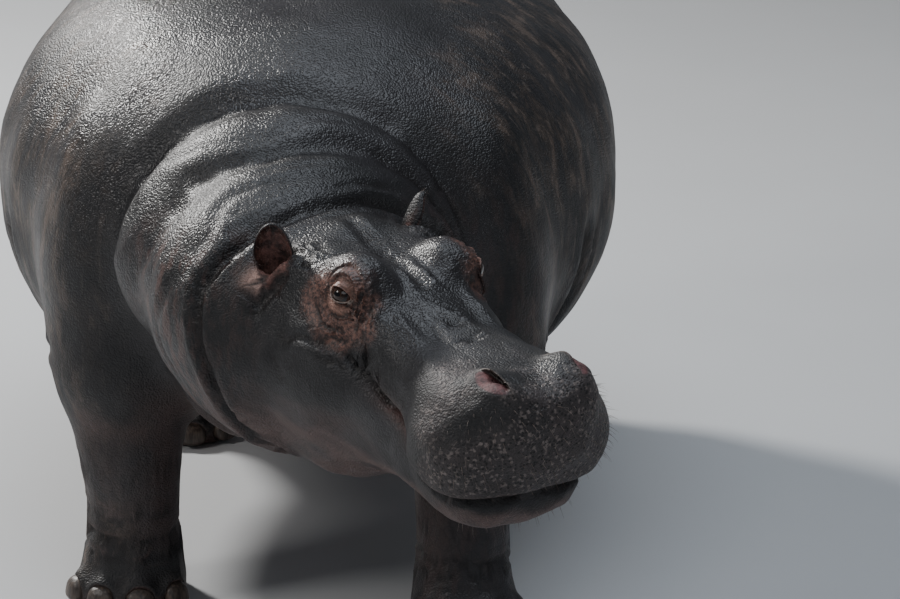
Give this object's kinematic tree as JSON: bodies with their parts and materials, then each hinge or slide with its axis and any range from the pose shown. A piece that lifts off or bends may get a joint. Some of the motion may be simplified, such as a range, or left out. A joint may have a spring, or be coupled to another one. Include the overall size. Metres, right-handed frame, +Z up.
{
  "type": "hippopotamus model",
  "caption": "Life-size still model of a bull hippopotamus that stands with its head low and turned to its left, mouth closed.",
  "frame": {"origin": "middle of the bounding box's floor, level with the soles", "axes": "+Z up, -Y the way the trunk faces, +X the animal's left"},
  "size_m": [1.4258, 2.866, 1.38],
  "materials": {
    "hide": "wet, dark slate grey-brown, finely wrinkled, pinkish round the eyes, ears and folds",
    "eye": "wet gloss, dark brown iris and black pupil",
    "nail": "worn satin horn"
  },
  "bodies": {
    "root": {"head": "hide", "lower_jaw": "hide", "neck": "hide", "trunk": "hide", "tail": "hide", "foreleg_left": "hide", "foreleg_right": "hide", "hindleg_left": "hide", "hindleg_right": "hide", "forefoot_left": "hide", "forefoot_right": "hide", "hindfoot_left": "hide", "hindfoot_right": "hide", "ear_left": "hide", "ear_right": "hide", "eye_left": "eye", "eye_right": "eye", "forefoot_nail_1_left": "nail", "forefoot_nail_2_left": "nail", "forefoot_nail_3_left": "nail", "forefoot_nail_4_left": "nail", "forefoot_nail_1_right": "nail", "forefoot_nail_2_right": "nail", "forefoot_nail_3_right": "nail", "forefoot_nail_4_right": "nail", "hindfoot_nail_1_left": "nail", "hindfoot_nail_2_left": "nail", "hindfoot_nail_3_left": "nail", "hindfoot_nail_4_left": "nail", "hindfoot_nail_1_right": "nail", "hindfoot_nail_2_right": "nail", "hindfoot_nail_3_right": "nail", "hindfoot_nail_4_right": "nail"}
  },
  "joints": []
}
